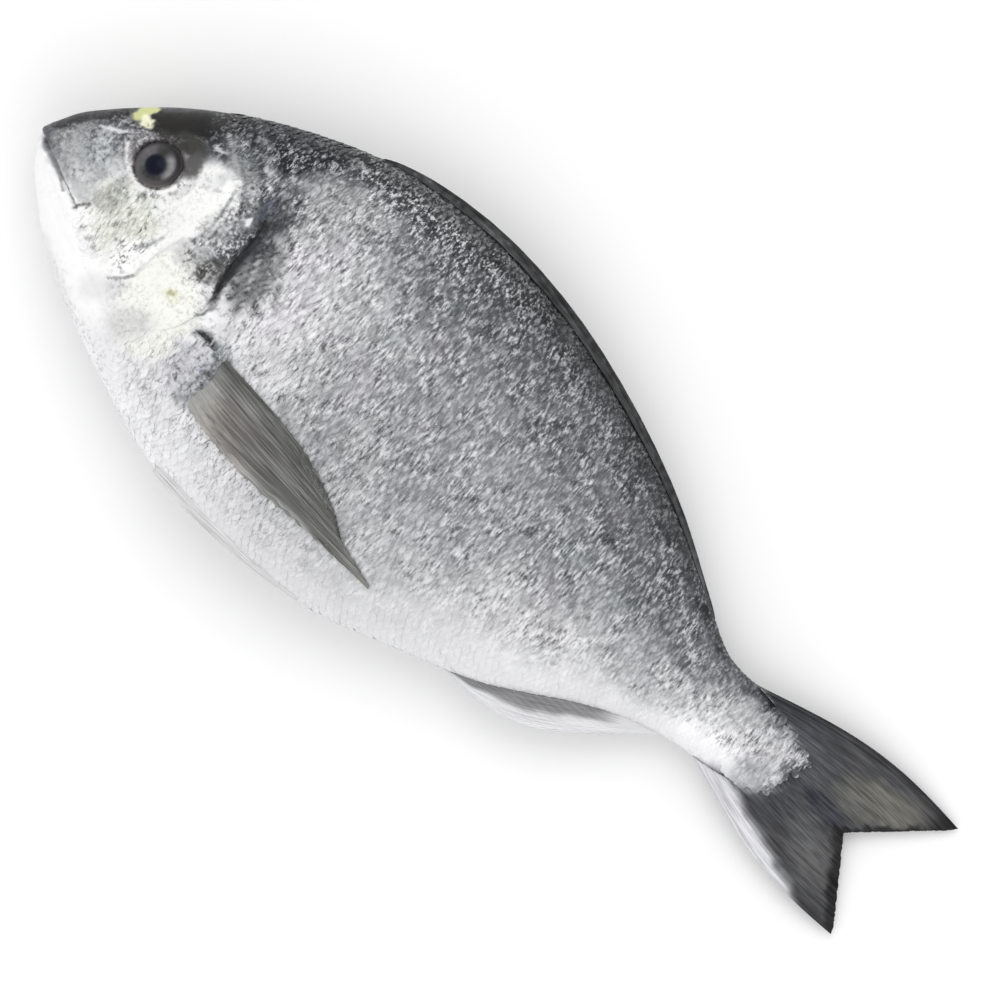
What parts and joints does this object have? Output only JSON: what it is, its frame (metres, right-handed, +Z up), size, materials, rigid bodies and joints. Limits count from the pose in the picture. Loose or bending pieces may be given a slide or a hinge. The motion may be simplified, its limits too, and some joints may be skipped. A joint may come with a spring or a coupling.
{
  "type": "whole raw fish",
  "caption": "Whole raw gilt-head sea bream lying on its right side: deep oval body with folded fins, a dark eye, a gill slit and a forked tail.",
  "frame": {"origin": "centre of the bounding box at the level of the table, under the middle of the fish", "axes": "+X towards the tail, +Y towards the back (dorsal edge), +Z up, out of the fish's left flank"},
  "size_m": [0.3035, 0.1107, 0.0421],
  "materials": {
    "skin": "wet silver-grey scaled skin, dark along the back and near white on the belly",
    "eye": "clear wet cornea over a dark iris",
    "dark_fin": "charcoal rayed fin membrane",
    "grey_fin": "olive-grey rayed fin membrane",
    "pale_fin": "pale grey rayed fin membrane"
  },
  "bodies": {
    "root": {"body": "skin", "eye_left": "eye", "eye_right": "eye", "dorsal_fin": "dark_fin", "anal_fin": "grey_fin", "caudal_fin": "dark_fin", "pectoral_fin_left": "grey_fin", "pectoral_fin_right": "grey_fin", "pelvic_fin_left": "pale_fin", "pelvic_fin_right": "pale_fin"}
  },
  "joints": []
}
